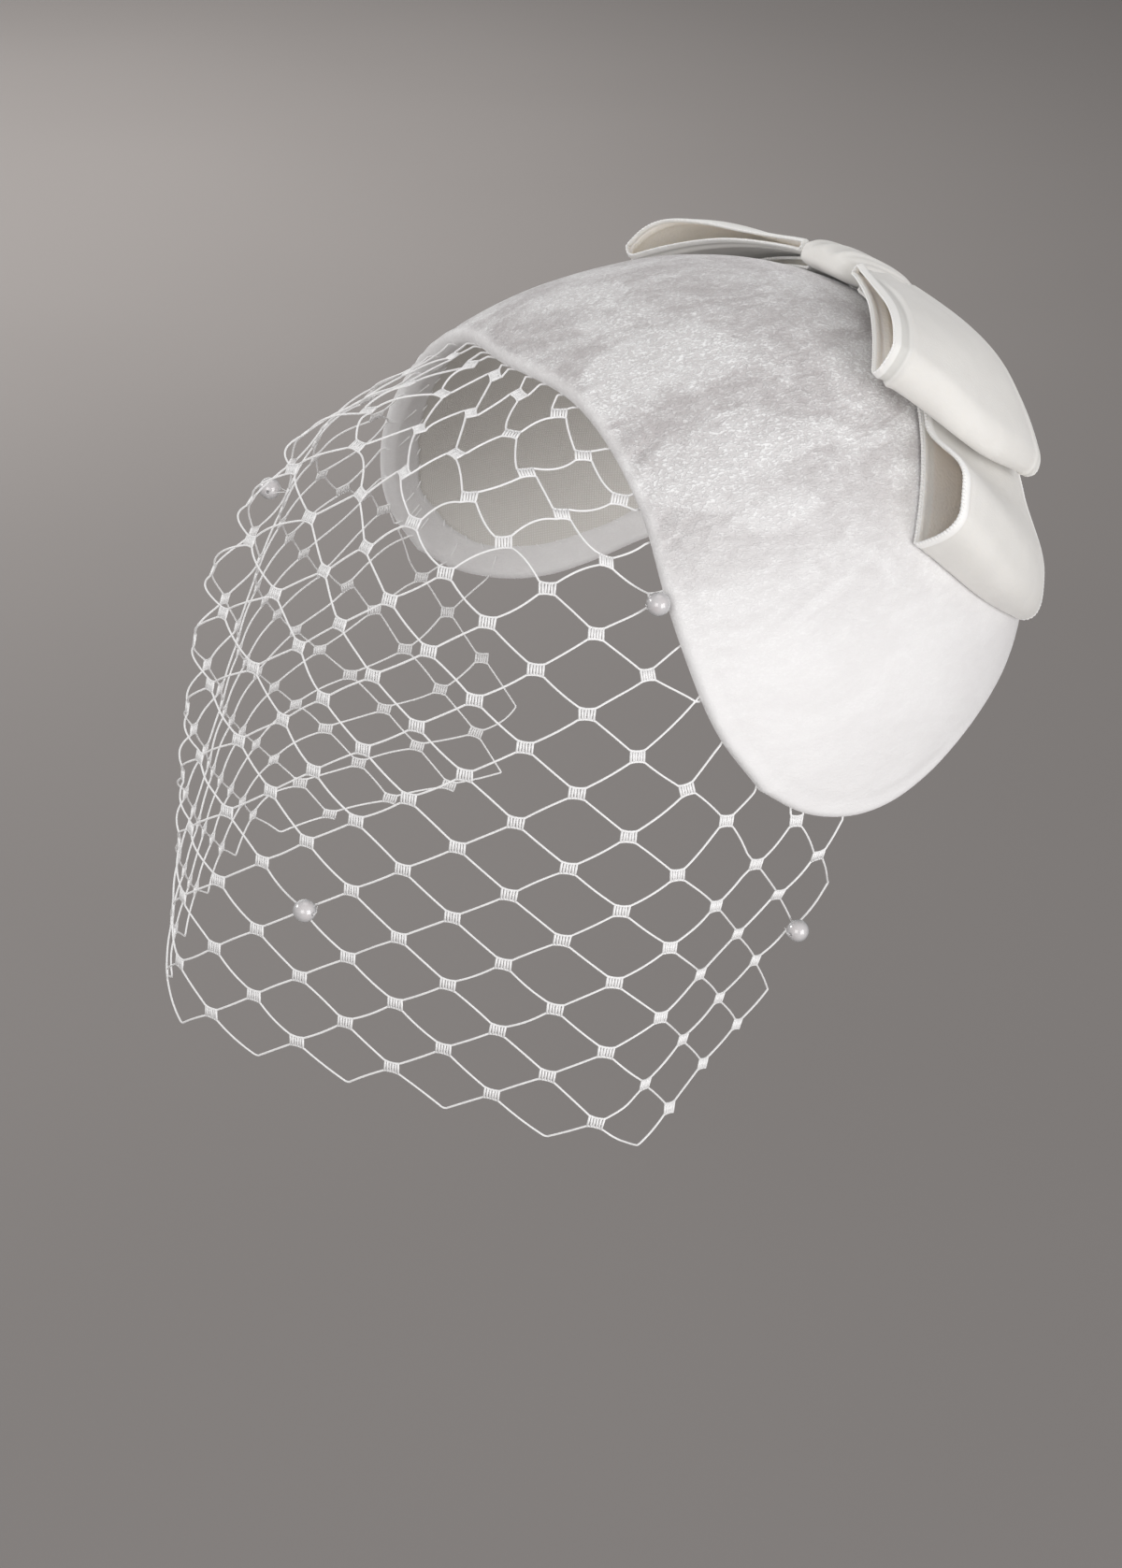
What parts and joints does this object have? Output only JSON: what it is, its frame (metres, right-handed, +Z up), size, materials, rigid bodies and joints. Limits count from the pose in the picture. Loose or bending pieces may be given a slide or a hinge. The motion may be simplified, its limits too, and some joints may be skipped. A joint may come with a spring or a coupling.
{
  "type": "half hat with veil and bow",
  "caption": "Saddle-shaped padded velvet half hat for the crown of the head, with a stand-away birdcage veil of diamond net set with pearls and a two-tier ribbon bow at the back.",
  "frame": {"origin": "top of the wearer's head, where the inside of the crown rests", "axes": "+Z up; the wearer looks along -Y, so the veil hangs at -Y and the bow is at +Y; the wearer's left is +X"},
  "size_m": [0.1762, 0.2113, 0.1673],
  "materials": {
    "velvet": "ivory crushed velvet over a padded stiff base",
    "net": "white open diamond net",
    "pearl": "ivory pearl lustre",
    "ribbon": "ivory velvet ribbon, satin inside"
  },
  "bodies": {
    "root": {"hat_base": "velvet", "veil": "net", "pearl_brow": "pearl", "pearl_cheek": "pearl", "pearl_ear": "pearl", "pearl_temple": "pearl", "bow_lower_left": "ribbon", "bow_lower_right": "ribbon", "bow_upper_left": "ribbon", "bow_upper_right": "ribbon", "bow_knot": "ribbon"}
  },
  "joints": []
}
